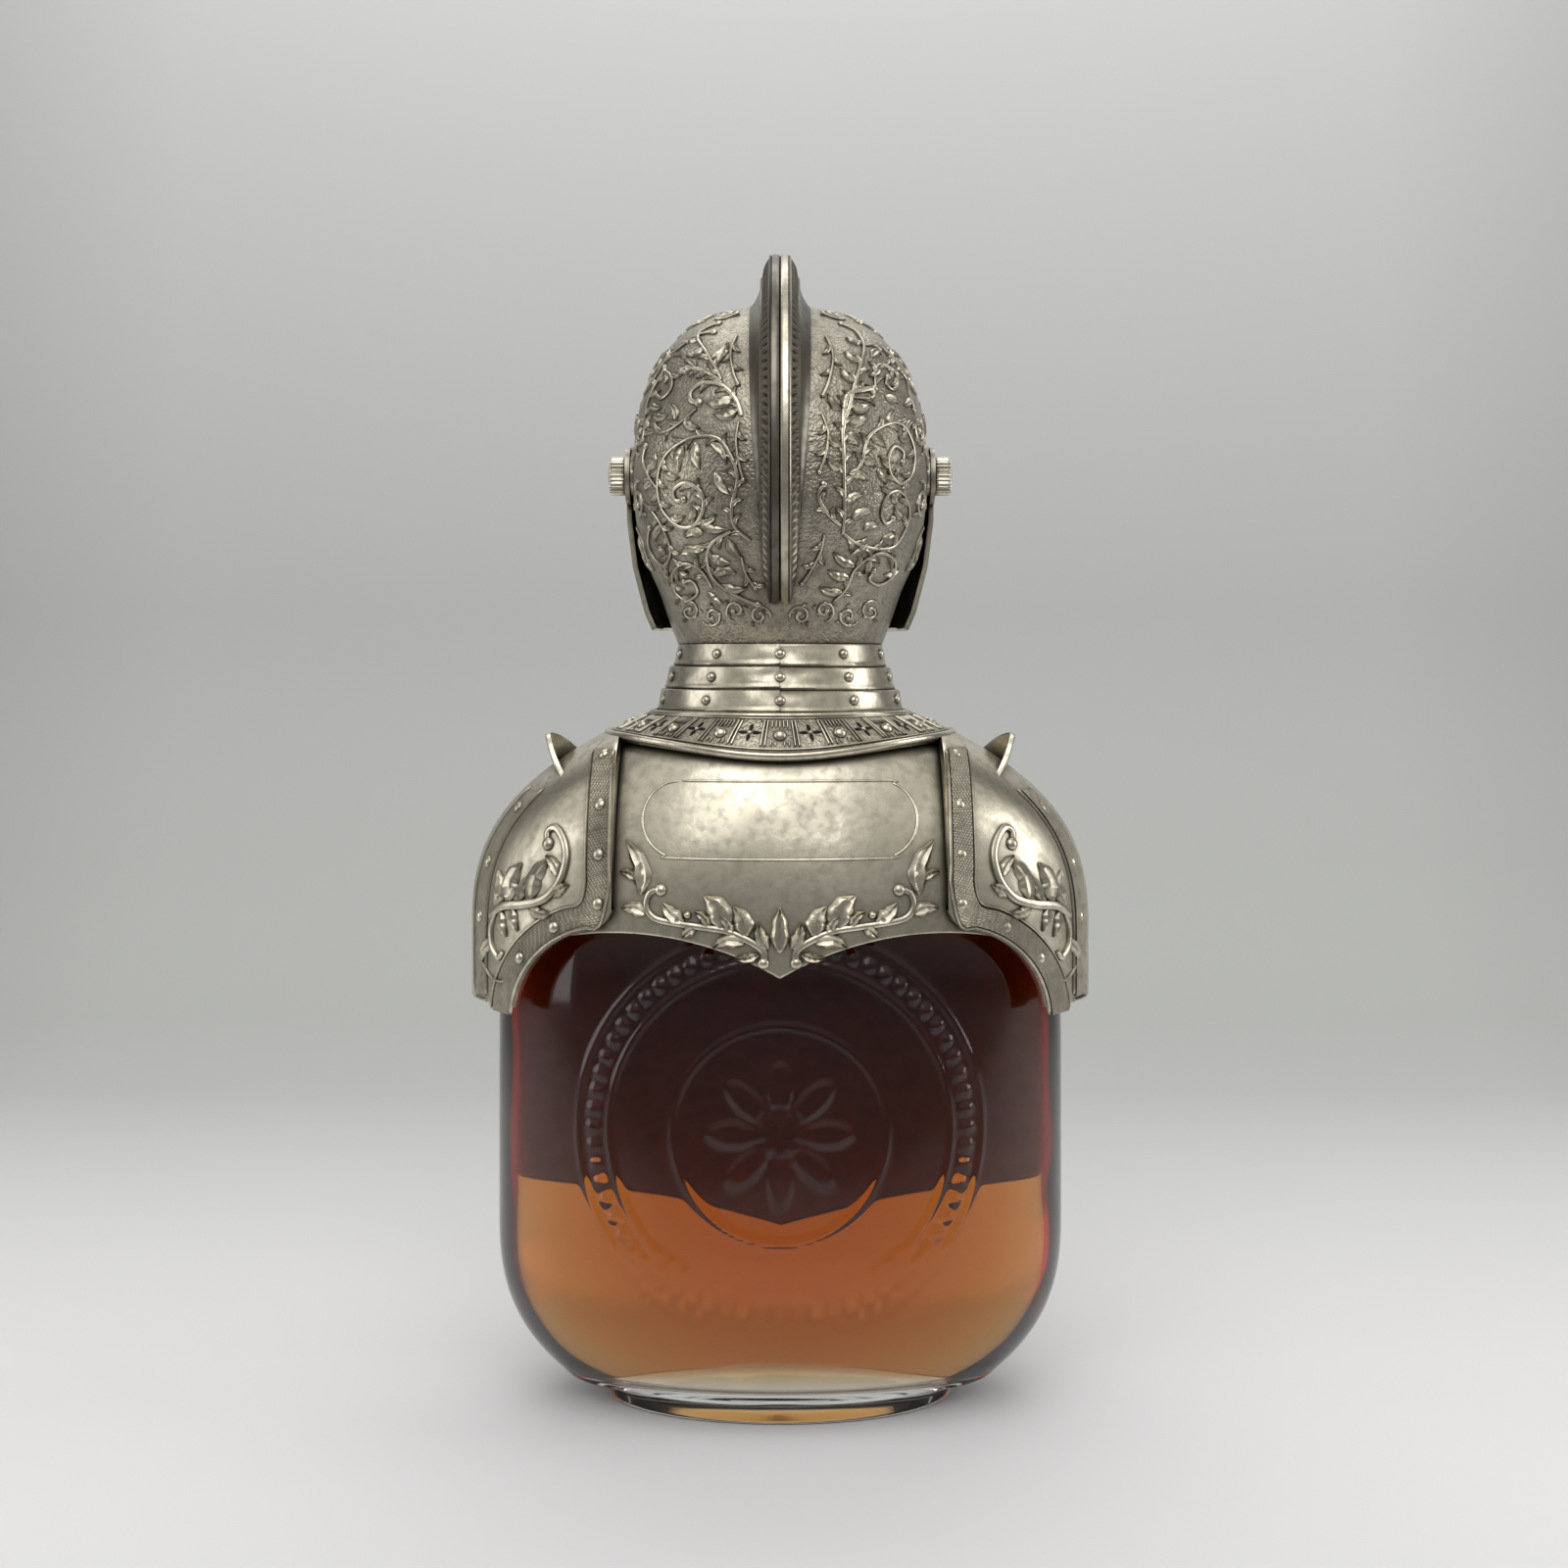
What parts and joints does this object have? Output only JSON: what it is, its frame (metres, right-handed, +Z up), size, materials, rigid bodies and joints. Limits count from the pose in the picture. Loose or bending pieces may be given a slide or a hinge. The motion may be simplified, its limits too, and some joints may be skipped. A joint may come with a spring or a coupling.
{
  "type": "figural decanter",
  "caption": "Oval glass liquor flask dressed as an armoured bust: riveted cape, lift-off crested helmet with a swinging visor on thumb nuts, and a screw cap beneath.",
  "frame": {"origin": "centre of the foot's flat underside", "axes": "+Z up; the bust faces -Y; +X is the bust's left side"},
  "size_m": [0.1468, 0.1032, 0.27],
  "materials": {
    "antique_pewter": "cast pewter, brushed pale on the high places, dark patina in the recesses",
    "pale_nickel": "satin champagne nickel",
    "clear_glass": "clear pressed glass",
    "amber_liquor": "clear amber liquid",
    "cap_metal": "satin gold-coloured aluminium",
    "cap_seal": "soft white foam plastic",
    "grey_felt": "dense grey felt"
  },
  "bodies": {
    "bottle": {"glass_bottle": "clear_glass", "liquor_fill": "amber_liquor", "seat_ring": "grey_felt", "collar": "antique_pewter", "collar_studs": "antique_pewter", "backplate": "antique_pewter", "breastplate": "antique_pewter", "left_pauldron": "antique_pewter", "right_pauldron": "antique_pewter", "left_shoulder_fin": "antique_pewter", "right_shoulder_fin": "antique_pewter", "left_pauldron_rivets": "antique_pewter", "right_pauldron_rivets": "antique_pewter"},
    "cap_seal": {"cap_liner": "cap_seal"},
    "cap": {"screw_cap": "cap_metal"},
    "helmet": {"skull_left": "antique_pewter", "skull_right": "antique_pewter", "gorget_left": "antique_pewter", "gorget_right": "antique_pewter", "gorget_rivets": "antique_pewter", "left_pivot_screw": "pale_nickel", "right_pivot_screw": "pale_nickel", "left_pivot_washer": "pale_nickel", "right_pivot_washer": "pale_nickel"},
    "visor": {"visor": "antique_pewter"},
    "left_nut": {"left_thumb_nut": "pale_nickel"},
    "right_nut": {"right_thumb_nut": "pale_nickel"}
  },
  "joints": [
    {"name": "helmet_lift", "type": "slide", "parent": "bottle", "child": "helmet", "axis": [0, 0, 1], "range_m": [0, 0.045]},
    {"name": "visor_swing", "type": "hinge", "parent": "helmet", "child": "visor", "pos_m": [0, 0, 0.2182], "axis": [-1, 0, 0], "range_deg": [0, 45]},
    {"name": "left_nut_turn", "type": "hinge", "parent": "helmet", "child": "left_nut", "pos_m": [0.0388, 0, 0.2182], "axis": [1, 0, 0], "continuous": true},
    {"name": "right_nut_turn", "type": "hinge", "parent": "helmet", "child": "right_nut", "pos_m": [-0.0388, 0, 0.2182], "axis": [-1, 0, 0], "continuous": true},
    {"name": "cap_lift", "type": "slide", "parent": "bottle", "child": "cap_seal", "axis": [0, 0, 1], "range_m": [0, 0.0046]},
    {"name": "cap_turn", "type": "hinge", "parent": "cap_seal", "child": "cap", "pos_m": [0, 0, 0.186], "axis": [0, 0, 1], "range_deg": [0, 540]}
  ],
  "couplings": [
    {"joint": "cap_lift", "follows": "cap_turn", "m_per_rad": 0.00047746}
  ]
}
